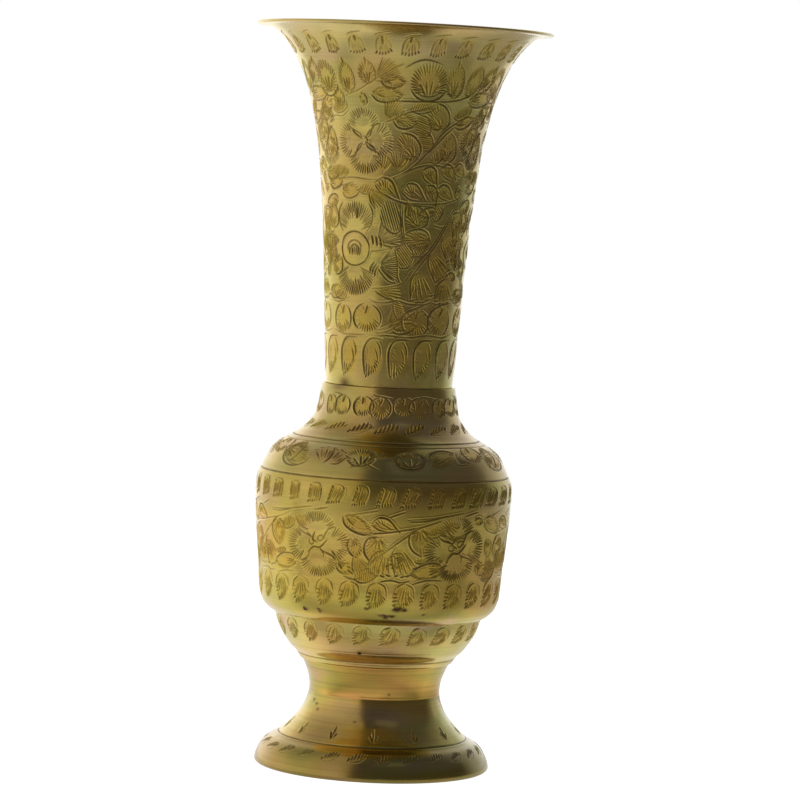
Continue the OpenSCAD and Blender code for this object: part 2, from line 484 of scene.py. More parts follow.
def disc(radius):
    """A flower's middle: a ring round a tuft of stamens."""
    strokes = [
        (arc(0, 0, radius, radius, 0, 360, 30), *CIRCLE),
        (arc(0, -0.5, 0.52 * radius, 0.55 * radius, 10, 190, 10), *LINE),
        (arc(0, -0.9, 0.32 * radius, 0.36 * radius, 0, 200, 8), *BOLD),
    ]
    for k in np.linspace(-1, 1, 7):
        top = 0.22 * rng.uniform(0.2, 1.4)
        strokes += scaled([stroke((0.46 * k, top), (0.34 * k, -0.42))], radius, radius)
    return strokes


def cross(width):
    """A flower's middle: four deep curls between the petals."""
    curl = stroke((0.6, 0), (0.2 * width, 0.5), (0.3 * width, -0.4), pen=BOLD)
    strokes = [(arc(0, 0, 1.5, 1.7, 200, 520, 10), *LINE)]
    for face in (48, 138, 228, 318):
        strokes += turned([curl], face)
    return strokes


def curls(size):
    """A flower's middle: a few free curls, the longest right across it."""
    strokes = [
        stroke((-1, -0.8), (-0.35, -0.25), (0.25, -0.3), (1, 0.35), pen=BOLD),
        stroke((-0.1, 1), (-0.35, 0.4), (0.1, 0.1), pen=BOLD),
        (arc(0.42, 0.42, 0.3, 0.26, -20, 280, 8), *LINE),
        (arc(-0.5, 0.2, 0.24, 0.26, 90, 400, 8), *LINE),
        stroke((0.3, -0.4), (0.55, -0.8), (0.4, -1.2)),
        stroke((-0.9, 0.9), (-0.5, 0.6), pen=BOLD),
    ]
    return scaled(strokes, size, size)


def flare_shell():
    """The hanging shell under the lip: a nick at its top, open sides and a jagged foot."""
    wide = rng.uniform(0.85, 1.12)
    strokes = [
        stroke((0, -0.1), (-0.2, -rng.uniform(2.6, 4.4)), pen=NICK),
        stroke((-1, -0.5), (-2.6 * wide, -3), (-3.1 * wide, -8)),
        stroke((1.1, -0.7), (2.6 * wide, -2.8), (3 * wide, -6.2), pen=TICK),
        stroke((-3.4, 0.4), (-0.8, 1.6), (3.6, 2.5), pen=TICK),
    ]
    for x in (-1.7, -0.6, 0.7, 1.8):
        strokes.append(stroke((0.7 * x, -rng.uniform(3.4, 5)), (x * wide, -rng.uniform(6.2, 7.6)), pen=TICK))
    foot = bend((-3.2 * wide, -8.6), (0, -8.9), (3.2 * wide, -7.4))
    return strokes + ticks(foot, (0, -2), 6, 1.4, BOLD)


def long_shell():
    """The long hanging leaf at the neck's foot, joined to the next by its cap line."""
    strokes = [
        stroke((4.6, 0.4), (-0.6, 0.2), (-3.2, -3.4), (-3.4, -8.6), (-2.6, -14.6), pen=BOLD, n=16),
        stroke((2.2, -0.6), (3.6, -3.6), (3.7, -7.2)),
        stroke((1.5, -3.4), (2.6, -7), (2.2, -10.4), pen=TICK),
        stroke((-1.8, -9.4), (-2, -13.8), pen=TICK),
        stroke((-0.6, -10.2), (-1.2, -14.4)),
        stroke((0.5, -10.4), (0, -13.6), pen=TICK),
    ]
    strokes += ticks(bend((-2.2, -15.4), (0.6, -13.6), (3.4, -9.4)), (-0.8, -7), 7, 2, LINE)
    return strokes + ticks(bend((-2, -3.6), (-2.4, -8)), (3, -9), 6, 1.3, HAIR)


def round_shell(width, height, teeth):
    """A round hanging leaf with a deep edge, a toothed lower side and a nick at its top."""
    w, h = width / 2, height / 2
    strokes = [(arc(0, -h, w, h, 100, 235, 16), *BOLD), (arc(0, -h, w, h, 72, -50, 12), *LINE)]
    strokes += ticks(arc(0, -h, w * 0.98, h, 225, 335, 14), (0, -0.7 * h), teeth, 0.55 * h)
    strokes += ticks(arc(0, -h, w * 0.92, h * 0.9, 110, 190, 10), (0.3 * w, -1.2 * h), 4, 0.45 * h, HAIR)
    return strokes + [stroke((0.1 * w, -0.1 * h), (-0.1 * w, -0.75 * h), pen=BOLD)]


def drop_shell(width, height, teeth):
    """A leaf that hangs with its tip at the lower left: smooth on its right, ragged on its left and foot."""
    w, h = width / 2, height
    strokes = [
        stroke((0.1, 0), (0.8, -0.16), (0.95, -0.5), pen=TICK, n=12),
        stroke((-0.1, 0), (-0.75, -0.16), (-1, -0.5)),
    ]
    for k in (-0.6, -0.25, 0.1, 0.45, 0.75):
        end = (k - 0.25, -rng.uniform(0.6, 0.82))
        strokes.append(stroke((0.5 * k, -rng.uniform(0.1, 0.3)), end))
    left = bend((-1, -0.36), (-1.04, -0.75), (-0.85, -1)) * (w, h)
    foot = bend((-0.8, -1.04), (0.05, -0.94), (0.85, -0.64)) * (w, h)
    strokes = scaled(strokes, w, h) + ticks(left, (0.5 * w, -0.5 * h), 5, 0.5 * w, LINE)
    return strokes + ticks(foot, (-0.1 * w, -0.2 * h), teeth, 0.24 * h, LINE)


def comb_shell(width, height):
    """A squarish leaf filled with long slanted cuts: smooth on its right, ragged on its left and foot."""
    w, h = width / 2, height
    lean = rng.uniform(-0.1, 0.3)
    strokes = [stroke((-0.3, 0), (0.8, -0.08), (1, -0.45), (0.75 - lean, -0.86), pen=TICK)]
    for k in np.linspace(-0.85, 0.7, 7):
        top = (k + 0.4, -rng.uniform(0.1, 0.28))
        strokes.append(stroke(top, (k - lean, -rng.uniform(0.66, 0.92))))
    left = bend((-0.5, -0.06), (-1 - lean, -0.9)) * (w, h)
    foot = bend((-0.95 - lean, -1), (0.7 - lean, -0.92)) * (w, h)
    strokes = scaled(strokes, w, h) + ticks(left, (0.4 * w, -0.8 * h), 5, 0.4 * w, LINE)
    return strokes + ticks(foot, (0, 0), 6, 0.17 * h, LINE)


def sprig(height, width):
    """A few quick nicks: a stalk with a leaf on each side."""
    strokes = [
        stroke((0.1, 1), (-0.1, 0)),
        stroke((-0.4, 0.6), (-0.1, 0.05), pen=BOLD),
        stroke((0.5, 0.5), (0.1, 0.15)),
    ]
    return scaled(strokes, width, height)


def ladder_leaf(length, width, pen=LINE):
    """A slanted leaf struck as a row of cross cuts over a base line."""
    strokes = [
        stroke((0, 0), (0.45, 0.2), (1, 0.9), pen=TICK),
        stroke((0.05, -0.3), (0.6, -0.35), (1, 0.5), pen=HAIR),
    ]
    for t in np.linspace(0.06, 0.94, 6):
        low = 0.8 * t - 0.3
        tall = (0.4 + 0.7 * math.sin(math.pi * t)) * rng.uniform(0.85, 1.1)
        strokes.append(stroke((t, low), (t + 0.1, low + tall), pen=pen))
    return scaled(strokes, length, width)


def stamp(wall, angle, z, strokes, turn=0.0, press=0.0):
    """Cuts a motif with its origin at angle and z, turned anticlockwise, with a hand's small errors.

    press also dishes the metal under the motif by that many millimetres."""
    matrix = turning(turn + rng.normal(0, HAND_TURN))
    if press:
        ends = np.concatenate([points[[0, -1]] for points, _, _ in strokes])
        middle, size = (ends.min(0) + ends.max(0)) / 2, np.ptp(ends, axis=0) / 2
        wall.dish(angle, z, middle, size, press, matrix, worked=True)
    for points, width, depth in strokes:
        p = points @ matrix + rng.normal(0, HAND_SLIP, 2)
        wall.engrave(angle, z, p, width * rng.uniform(0.88, 1.1), depth * rng.uniform(0.9, 1.35))


def trail(wall, stops, pen=LINE):
    """A long line through (angle, height) stops on the wall."""
    middle = stops[len(stops) // 2]
    start = wall.path_at(middle[1])
    radius = wall.radius_at(middle[1])
    points = [(math.radians(a - middle[0]) * radius, wall.path_at(z) - start) for a, z in stops]
    wall.engrave(middle[0], middle[1], bend(*points, n=6 * len(points)), *pen)


def row(wall, count, first, z, motif, turn=0.0, lean=0.0, press=0.0):
    """A border: the motif cut anew at even steps round the wall; lean turns it more on one side."""
    for k in range(count):
        angle = first + 360 * k / count
        stamp(wall, angle, z, motif(), turn + lean * math.sin(math.radians(angle)), press)


def fill(wall, low, high, size=1.9):
    """Small leaves wherever a field is still bare, as an engraver fills his gaps."""
    for z in np.arange(low, high, 1.1 * size):
        for angle in np.arange(-180, 180, math.degrees(1.2 * size / wall.radius_at(z))):
            where = wall.window(angle, wall.path_at(z), (-size, -size), (size, size))[0]
            if wall.cut[where].max() < 0.03 and wall.relief[where].min() > -0.05:
                kind = (leaf, slats, sheaf, feather)[rng.integers(4)]
                strokes = kind(rng.uniform(2.4, 3.2) * size, rng.uniform(1.5, 2) * size)
                strokes = [(points - (1.4 * size, 0), *pen) for points, *pen in strokes]
                stamp(wall, angle, z, strokes, rng.uniform(0, 360), 0.08)


# ---------------------------------------------------------------- the castings' ornament
# Motifs of a field: kind, angle, height, direction of the tip, length, width
# Trails of a field: stops along a stalk, (angle, height)

THIRDS = (0, 120, 240)

NECK_MOTIFS = [
    (bud, -50.5, 278, 0, 12, 15.5),
    (feather, -34.5, 271.5, 90, 14.5, 7.5),
    (feather, -21, 275.5, 92, 11, 7.5),
    (sheaf, -17, 277.2, 36, 12.5, 10),
    (leaf, -13, 277.6, 6, 10.5, 6),
    (leaf, -19, 272.2, 3, 13.5, 7),
    (bud, 15.5, 277.8, 0, 15.5, 16),
    (feather, 32, 271.5, 90, 15, 8.5),
    (leaf, 44.5, 271.5, 84, 15, 9),
    (feather, 53, 275.5, 62, 12, 8),
    (leaf, 44, 271.3, 4, 16.5, 6.5),
    (sheaf, -10.5, 261.5, 60, 10.5, 9),
    (slats, 5, 267.2, 6, 11, 4.4),
    (leaf, -5, 262, 4, 10, 6.5),
    (slats, 15.5, 255.5, 98, 10, 6.5),
    (leaf, 27.5, 258.6, 108, 12, 9.5),
    (slats, 35.5, 264.5, 24, 10, 5),
    (leaf, 38, 260.8, 22, 11, 4.6),
    (slats, -49.5, 265.8, 14, 9, 5),
    (feather, -62, 265, 30, 9, 7),
    (leaf, -55.5, 245.6, 92, 14, 7.5),
    (slats, -59, 241.5, -4, 11.5, 5.5),
    (leaf, 10.5, 246.5, 118, 12.5, 9.5),
    (slats, 20, 250, 112, 10, 6),
    (leaf, 35, 246.2, 90, 12.5, 8),
    (sheaf, -1, 242, 92, 8.5, 9),
    (sheaf, -12, 241.5, 78, 8, 5),
    (slats, 22, 246.5, 40, 8, 4.5),
    (wave, 17, 243, -24, 9.5, 6),
    (wave, 31, 243.8, -18, 10, 5.5),
    (wave, 43, 244.4, -12, 8, 5),
    (wave, -17, 237, -14, 11.5, 6.5),
    (wave, 3, 234.6, -4, 10.5, 6.5),
    (wave, 21, 237, -50, 10, 5),
    (wave, 29, 235.4, -10, 10.5, 5.6),
    (leaf, -46, 233, 6, 9.5, 6),
    (sheaf, -22, 234, -36, 8.5, 8),
    (leaf, 16, 219.6, 92, 9, 9.5),
    (slats, 29, 223, 64, 8, 4),
    (leaf, 28, 214.8, 176, 12, 8.5),
    (tuft, 39.5, 217.5, -48, 12, 8.5),
    (tuft, 29, 210, -52, 13, 8),
    (tuft, 19, 202.5, -76, 12.5, 9),
    (tuft, 50, 225.5, -62, 11, 8),
    (slats, 3, 204, 62, 10, 7),
    (slats, 15, 208.5, 52, 10, 3.5),
    (sheaf, -15, 194.2, -3, 11, 5),
    (tuft, 45, 200, -84, 10, 9),
    (sheaf, -3.5, 180.2, 52, 10, 6),
    (leaf, 1, 178.8, 16, 10.5, 4.5),
    (leaf, -60, 222, 150, 8, 6),
    (leaf, -61, 236, 12, 9, 5.5),
    (leaf, 56, 240, 10, 9, 6),
    (feather, 53, 262, 24, 10, 6),
    (feather, 58, 207, 100, 11, 8),
    (leaf, 56, 192.4, 12, 10, 6),
    (feather, -44, 266.5, 84, 8, 6),
    (leaf, -66, 252, 80, 12, 7),
    (leaf, -50, 230, 196, 9, 5.5),
    (leaf, -56, 218, 100, 11, 7),
    (feather, -62, 203, 96, 12, 8),
    (leaf, -56, 200, 60, 8, 6),
    (slats, -57, 193, -10, 8, 4),
    (slats, -30, 234.6, -4, 7, 4),
    (leaf, 31, 227.4, -160, 8, 4),
    (sheaf, 8, 231, -80, 8, 4),
    (slats, 46, 252, 84, 9, 5),
    (slats, 4, 190.6, -80, 8, 4),
]
NECK_TRAILS = [
    [(-38, 270.3), (-28, 273), (-18, 277), (-8, 281), (2, 284.6)],
    [(1, 282.5), (7, 285.4), (13, 286.2), (22, 284.6)],
    [(-12, 269.4), (0, 269.8), (14, 270), (28, 270.4), (40, 271.6)],
    [(29, 270.6), (39, 271.8), (47, 274.5), (51.5, 279.5), (49, 285)],
    [(-58, 260.6), (-49, 263), (-41, 263), (-35, 265.6)],
    [(-13, 260.4), (-4, 262.6), (4, 265.4), (12, 266.6), (20, 268.6)],
    [(8, 243), (16, 247.6), (23, 252.6), (29, 258), (38, 262), (50, 265.6)],
    [(22, 251), (30, 256.6), (37, 260.6)],
    [(-16, 237.6), (-6, 239), (3, 241.4), (12, 245.2), (18, 248.8)],
    [(-3, 239), (6, 242.2), (16, 244.6), (26, 245.2), (38, 244.4), (48, 245.4)],
    [(-60, 238.4), (-48, 238), (-36, 238.8), (-22, 238.2), (-12, 238.4)],
    [(-58, 232.4), (-50, 235), (-42, 235.8), (-34, 237)],
    [(-26, 234.8), (-17, 234.2), (-7, 231.8), (2, 230.2), (12, 229.6), (28, 229.8), (40, 230.6),
     (50, 232.2)],
    [(-2, 230.6), (8, 229.2), (20, 228.8), (32, 229.4)],
    [(9, 198.6), (20, 206.6), (28.5, 212), (38, 219.6), (48, 228)],
    [(12, 198.8), (22, 206.2), (31, 212), (40, 219.4), (47, 225.6)],
    [(13, 208.6), (20, 208.6), (26, 209.8)],
    [(14, 204), (20, 207.6), (26, 211)],
    [(11, 201), (17, 204.6), (21, 208)],
    [(30, 221.4), (36, 220.6), (41, 221.2)],
    [(3, 229.6), (3.2, 222.4), (5.6, 215.4)],
    [(4.4, 229), (4.8, 222), (7.2, 215)],
    [(-19, 209.8), (-10, 210.5), (-1, 212)],
    [(0, 211), (2.4, 205.6), (3, 200.4), (6, 197.4)],
    [(6, 197.6), (-4, 196), (-19, 194.8)],
    [(-22, 191.4), (-14, 189.8), (-5, 190), (4, 190.8), (14, 189.6), (26, 189.6), (32, 190.6)],
    [(34, 190.4), (43, 189.6), (54, 190.4)],
    [(-60, 189.6), (-50, 189), (-38, 191)],
    [(-14, 178.6), (-4, 180), (7, 184), (16, 187.2), (27, 189.4)],
    [(-12, 177.4), (-1, 179), (9, 182.8), (20, 186.8)],
    [(-20, 176.2), (-4, 176.8), (14, 176.2), (32, 177.2), (48, 176.6), (62, 178)],
    [(-58, 178), (-46, 176.4), (-34, 176.2), (-20, 176.4)],
    [(27, 186), (32, 184.6), (35, 180)],
    [(34, 182.6), (38, 181.2), (42, 178.6)],
]


def cut_field(wall, motifs, trails, press):
    for kind, angle, z, turn, length, width in motifs:
        stamp(wall, angle, z, kind(length, width), turn, press)
    for stops in trails:
        trail(wall, stops)


def cut_neck_field(wall):
    """A third of the neck: leaves, two open flowers, the great flower and the leaves that hang under it."""
    cut_field(wall, NECK_MOTIFS, NECK_TRAILS, 0.09)
    stamp(wall, -25.5, 253.6, flower(24.5, 27) + cross(24), 3)
    stamp(wall, 62, 255, flower(20, 24, faces=(90, 180, 270)) + cross(18), 4)
    stamp(wall, -34, 210.6, flower(30, 38, faces=(90, 270), clear=7) + disc(6.8))
    stamp(wall, -34, 210.6, flower(31, 26, faces=(180,), clear=8))
    wall.hollows(0.32, ((-26, 261, 5, 4.5), (-33, 253, 5, 6), (-16, 253, 5, 7), (-26, 246.5, 5.5, 5)))
    wall.hollows(0.36, ((-33, 222, 7.5, 6), (-37, 198, 7.5, 6), (-53, 210, 7.5, 6), (-15, 213, 7.5, 6)))
    stamp(wall, -12, 221.4, turned(slats(9, 13, 0.3), 35))
    stamp(wall, -15, 213.5, sheaf(9.5, 12), 38)
    stamp(wall, -14, 204, sheaf(9, 14), 6)
    for k in range(3):
        a, z = -19 + 3.4 * k, 216.6 - 0.4 * k
        trail(wall, [(a, z), (a + 1.6, z - 4.2)], BOLD)
        a, z = -15.5 + 2 * k, 206 - 0.6 * k
        trail(wall, [(a, z), (a - 3.4, z - 2.4), (a - 3.8, z - 5)], BOLD)
    trail(wall, [(-32, 227.6), (-32, 222.4)], NOTCH)
    trail(wall, [(-45, 229), (-49.5, 225.5), (-49, 220.5), (-45, 217)], BOLD)
    trail(wall, [(-22, 229), (-18.5, 225.5), (-19.5, 220.5), (-23, 217.4)])
    stamp(wall, -45, 188.4, round_shell(9, 12, 9), -4, 0.1)
    stamp(wall, -22, 189, round_shell(12, 11.5, 10), 0, 0.1)
    stamp(wall, 22, 187.6, round_shell(11.5, 10.8, 9), -8, 0.1)
    stamp(wall, 46, 189, round_shell(11.5, 12, 9), -8, 0.1)


def cut_neck(wall):
    row(wall, 26, -66, 294.4, flare_shell, press=0.1)
    for wall.zero in THIRDS:
        cut_neck_field(wall)
    wall.zero = 0.0
    fill(wall, 180, 284)
    row(wall, 16, -39, 174.8, long_shell, press=0.12)


def cut_shoulder_field(wall):
    """A third of the low band: leaves, buds and tufts on short stalks."""
    stamp(wall, -61, 130, leaf(18, 11), -14, 0.08)
    trail(wall, [(-56, 125.6), (-48, 124.2), (-42, 125.2), (-39, 129)])
    stamp(wall, -31, 125.8, tuft(8.4, 8, 4), 104, 0.06)
    stamp(wall, -27, 125.8, tuft(7.6, 7, 4), 58, 0.06)
    stamp(wall, -12, 129.2, bud(12, 8.6, 3), 6)
    trail(wall, [(-17, 124.8), (-9, 127.4), (-1, 131)])
    trail(wall, [(-15, 125), (-7, 128)])
    trail(wall, [(-10, 127), (-2, 124.2)])
    stamp(wall, 12.5, 128.8, bud(13.5, 8.4, 3))
    stamp(wall, 22, 127.2, leaf(14, 9, side=1), 24, 0.08)
    trail(wall, [(25, 126.6), (32, 129), (36, 130.4)])
    stamp(wall, 37, 127, sheaf(8, 7.5), 40)
    stamp(wall, 51.5, 133.2, round_shell(11, 9.4, 8), 0, 0.08)
    stamp(wall, 63, 125.4, leaf(12, 9), 66, 0.06)


def swinging_shell():
    """A round hanging leaf of its own size that swings a little to one side."""
    shell = round_shell(rng.uniform(6, 9.4), rng.uniform(7.4, 9), 8)
    return turned(shell, rng.uniform(-16, 16))


def cut_shoulder(wall):
    row(wall, 21, -56, 151.9, swinging_shell, lean=-6, press=0.1)
    row(wall, 18, -49, 138.2, lambda: ladder_leaf(9.6, 3.2, BOLD), 2, press=0.06)
    for k in range(9):
        trail(wall, [(-12 + 40 * k, 152.6), (-4 + 40 * k, 152.2), (5 + 40 * k, 151.4)])
    wall.ring(134.4, 1.0, 0.36)
    wall.ring(133.0, 0.7, 0.2)
    for wall.zero in THIRDS:
        cut_shoulder_field(wall)
    wall.zero = 0.0
    wall.ring(BELLY_SEAM_Z + 0.35, 0.9, 0.35)


BELLY_MOTIFS = [
    (leaf, -17.5, 106, -26, 14, 6.5),
    (wave, -4.5, 103.6, -4, 11.5, 5),
    (leaf, -1, 98.4, -108, 10.5, 9),
    (tuft, 2, 93.4, -102, 11, 9),
    (tuft, 7, 95, -66, 13, 8.5),
    (leaf, 17, 102.6, -82, 11.5, 9.5),
    (slats, 20, 100.4, 12, 8.5, 4.8),
    (leaf, 30, 86.4, -172, 14.5, 6.5),
    (slats, 15.4, 89.4, 4, 6.5, 2.2),
    (sheaf, -12, 91, -60, 9, 7),
    (leaf, -13, 97.6, -70, 8.5, 6),
    (feather, 11, 91, -150, 8, 6),
    (sheaf, 29, 104.6, -30, 7, 5),
    (feather, -20, 88, -36, 8, 5.5),
]
BELLY_TRAILS = [
    [(-14, 100.6), (-7, 99.8), (1, 100.2), (9, 101.4), (18, 103), (27, 105.6)],
    [(-6, 87.2), (0, 91), (7, 96.2), (13, 100.2), (17.5, 102.6)],
    [(-18, 105.6), (-10, 107.2), (-2, 109)],
    [(3, 106.4), (10, 108.8)],
    [(11, 105.6), (23, 106.4), (39, 108.6)],
    [(12, 105), (20, 105.4), (30, 107.6)],
    [(39, 107.2), (47, 108.8)],
    [(-17, 82.2), (-12, 81), (-8, 82)],
    [(-1, 80.4), (5, 81.4), (10, 80.6), (14, 81.6)],
    [(15, 80), (22, 81.6), (30, 81.6)],
]


def cut_belly(wall):
    row(wall, 32, -32.5, 118.2, lambda: comb_shell(rng.uniform(6, 7.6), 8.2), lean=-6, press=0.08)
    row(wall, 28, -26.8, 80.2, lambda: drop_shell(rng.uniform(7.8, 9), 10.8, 9), lean=-10, press=0.1)
    flowers = (-30, 36, 108, 180, 254)
    for here, after in zip(flowers, flowers[1:] + (330,)):
        wall.zero = here
        stamp(wall, 0, 93.8, flower(29, 26.5) + curls(5), 4)
        wall.hollows(0.36, ((0, 101, 7, 4.5), (-10, 93, 5.5, 6), (10, 92.6, 5.5, 6), (0, 86, 7, 4.5)))
        wall.zero = (here + after) / 2 - 3
        cut_field(wall, BELLY_MOTIFS, BELLY_TRAILS, 0.1)
        wall.zero = here
        stamp(wall, 18, 81.6, slats(12, 6.5), 22, 0.08)
    wall.zero = 0.0
    fill(wall, 84, 107)
    wall.crust(9, 69.4, 3.0, 1.2, 14)
    wall.crust(3.5, 67, 3.4, 0.9, 12)
    wall.crust(-29, 67.2, 0.6, 1.2, 3)
    for angle, z in ((-38, 67.4), (22, 67.6), (-6, 69.5)):
        wall.crust(angle, z, 0.8, 0.6, 2)


def cut_bowl(wall):
    row(wall, 22, -57, 61.6, lambda: drop_shell(rng.uniform(7.4, 8.6), 9, 10), turn=-6, lean=-16, press=0.1)
    wall.ring(49.8, 0.5, 0.08)
    wall.ring(45.6, 0.8, 0.22)
    wall.blot(-10.5, 50, 0.8, 0.8)


def cut_foot(wall):
    wall.ring(30.2, 0.5, 0.09)
    wall.ring(12.7, 0.9, 0.32)
    row(wall, 13, -54, 14.4, lambda: sprig(7, 3.4))
    row(wall, 25, -41, 8.4, lambda: ladder_leaf(7.2, 3.0))
    spots = ((-14, 21.4, 0.6), (-62, 27.4, 0.9), (-56, 26.2, 0.8), (-52, 24.2, 0.8), (13, 32.6, 0.6))
    for angle, z, size in spots:
        wall.blot(angle, z, size, size * 0.7, 0.6)


# ---------------------------------------------------------------- meshes

DEEP = 0.28  # the depth from which a cut counts as fully dark


def noise_field(wall, cell_mm, seed):
    """Smooth random bumps over a wall, from -1 to 1, even at the seam of the grid."""
    local = np.random.default_rng(seed)
    rows = max(3, int(wall.path[-1] / cell_mm) + 3)
    cols = max(4, int(2 * math.pi * wall.r.mean() / cell_mm))
    grid = local.normal(0, 1, (rows, cols))
    y = wall.path / cell_mm
    x = np.arange(wall.columns) * cols / wall.columns
    y0, x0 = y.astype(int), x.astype(int)
    fy, fx = (y - y0)[:, None], (x - x0)[None, :]
    fy, fx = fy * fy * (3 - 2 * fy), fx * fx * (3 - 2 * fx)

    def corner(dy, dx):
        return grid[np.ix_(y0 + dy, (x0 + dx) % cols)]

    left = corner(0, 0) * (1 - fy) + corner(1, 0) * fy
    right = corner(0, 1) * (1 - fy) + corner(1, 1) * fy
    return left * (1 - fx) + right * fx


def build_casting(name, wall, rest, material, closed_floor=False):
    """One closed mesh: the engraved outer face, and the rest of the section as plain turned rows.

    rest is the remaining outline from the outer face's top round to its bottom. With closed_floor it
    runs from the top to the axis and from the axis back, with a pair of poles in between."""
    rough = 0.02 * noise_field(wall, 9, 3) + 0.012 * noise_field(wall, 3.5, 4)
    inwards = np.arange(len(wall.r))
    fade = np.clip(np.minimum(inwards, inwards[::-1]) / 3.0, 0, 1)
    lift = (wall.height() + rough) * fade[:, None]
    plain = np.vstack([part[:, None, :] + np.zeros((1, wall.columns, 1)) for part in rest])
    r = np.vstack([wall.r[:, None] + lift * wall.out[:, 0, None], plain[..., 0]])
    z = np.vstack([wall.z[:, None] + lift * wall.out[:, 1, None], plain[..., 1]])
    rows, columns = r.shape
    points = np.stack([r * np.sin(wall.angle), -r * np.cos(wall.angle), z], -1).reshape(-1, 3) * MM
    index = np.arange(rows * columns).reshape(rows, columns)
    after = np.roll(index, -1, axis=1)
    upper = len(wall.r) + len(rest[0]) - 1
    pairs = [(k, (k + 1) % rows) for k in range(rows) if not (closed_floor and k == upper)]
    quads = np.concatenate([np.stack([index[a], after[a], after[b], index[b]], 1) for a, b in pairs])
    triangles = np.zeros((0, 3), int)
    if closed_floor:
        lower = upper + 1
        pole = np.full(columns, rows * columns)
        over = np.stack([index[upper], after[upper], pole], 1)
        under = np.stack([after[lower], index[lower], pole + 1], 1)
        triangles = np.vstack([over, under])
        points = np.vstack([points, [(0, 0, z[k, 0] * MM) for k in (upper, lower)]])
    mesh = bpy.data.meshes.new(name)
    loop_vertices = np.concatenate([quads.ravel(), triangles.ravel()]).astype(np.int32)
    sizes = np.array([4] * len(quads) + [3] * len(triangles), np.int32)
    mesh.vertices.add(len(points))
    mesh.vertices.foreach_set("co", points.astype(np.float32).ravel())
    mesh.loops.add(len(loop_vertices))
    mesh.loops.foreach_set("vertex_index", loop_vertices)
    mesh.polygons.add(len(sizes))
    mesh.polygons.foreach_set("loop_start", np.r_[0, np.cumsum(sizes)[:-1]].astype(np.int32))
    mesh.polygons.foreach_set("loop_total", sizes)
    mesh.polygons.foreach_set("use_smooth", np.ones(len(sizes), bool))
    mesh.update(calc_edges=True)
    masks = {"cut": np.clip(wall.cut / DEEP, 0, 1), "leaf": wall.worked, "stain": wall.stain}
    for label, grid in masks.items():
        values = np.zeros(len(points), np.float32)
        values[: grid.size] = grid.ravel()
        mesh.attributes.new(label, "FLOAT", "POINT").data.foreach_set("value", values)
    mesh.materials.append(material)
    piece = bpy.data.objects.new(name, mesh)
    bpy.context.scene.collection.objects.link(piece)
    return piece


def section(*points, step=1.6):
    """Plain turned rows through a few corners of the section, corners chamfered."""
    return resampled(softened(points), step)


def inner_face(line, low, high, step=3):
    """The inner face of a wall between two heights, from the top down."""
    return even(between(inset(line, WALL), low, high)[::-1], step)


def make_neck(material):
    wall = Wall(neck_line(), columns=960, step=0.26)
    cut_neck(wall)
    wall.blot(-44, NECK_SEAM_Z + 1.0, 3.2, 2.6, 0.56)
    rest = section(
        wall.line[-1] + (0.2, 0.02),
        (RIM_R - 0.5, TOTAL_H - 0.9 * LIP_T),
        (RIM_R, TOTAL_H - LIP_T / 2),
        (RIM_R - 0.5, TOTAL_H - 0.1),
        (RIM_R - 1.2, TOTAL_H),
        (RIM_R - 5, TOTAL_H - 0.3),
        *inner_face(neck_line(), NECK_SEAM_Z + 3, TOTAL_H - 2 * LIP_T),
        (NECK_SPIGOT_R - SPIGOT_WALL, NECK_SEAM_Z - SPIGOT_H),
        (NECK_SPIGOT_R, NECK_SEAM_Z - SPIGOT_H),
        (NECK_SPIGOT_R, NECK_SEAM_Z),
        (NECK_R - 0.05, NECK_SEAM_Z),
        step=2.5,
    )
    return build_casting("neck_engraved", wall, [rest], material)


def make_shoulder(material):
    line = smooth_line(SHOULDER_STATIONS)
    wall = Wall(line, columns=1000, step=0.27)
    cut_shoulder(wall)
    wall.blot(-47, NECK_SEAM_Z - 0.5, 5, 2.0, 0.4)
    socket_r = NECK_SPIGOT_R + FILM
    rest = section(
        wall.line[-1] - (0.1, 0),
        (socket_r, NECK_SEAM_Z),
        (socket_r, NECK_SEAM_Z - SPIGOT_H - 2),
        *inner_face(line, BELLY_SEAM_Z + 2, NECK_SEAM_Z - SPIGOT_H - 3, 2.5),
        (SHOULDER_SPIGOT_R - SPIGOT_WALL, BELLY_SEAM_Z - SPIGOT_H),
        (SHOULDER_SPIGOT_R, BELLY_SEAM_Z - SPIGOT_H),
        (SHOULDER_SPIGOT_R, BELLY_SEAM_Z),
        (SHOULDER_R - 0.1, BELLY_SEAM_Z),
    )
    return build_casting("shoulder_engraved", wall, [rest], material)


def make_belly(material):
    line = smooth_line(BELLY_STATIONS)
    wall = Wall(line, columns=1280, step=0.26)
    cut_belly(wall)
    top_r = SHOULDER_SPIGOT_R + FILM
    low_r = BOWL_SPIGOT_R + FILM
    rest = section(
        wall.line[-1] - (0.1, 0),
        (top_r, BELLY_SEAM_Z),
        (top_r, BELLY_SEAM_Z - SPIGOT_H - 2),
        *inner_face(line, BOWL_SEAM_Z + SPIGOT_H + 2, BELLY_SEAM_Z - SPIGOT_H - 3),
        (low_r, BOWL_SEAM_Z + SPIGOT_H + 1),
        (low_r, BOWL_SEAM_Z),
        wall.line[0] - (0.1, 0),
        step=2.5,
    )
    return build_casting("belly_engraved", wall, [rest], material)


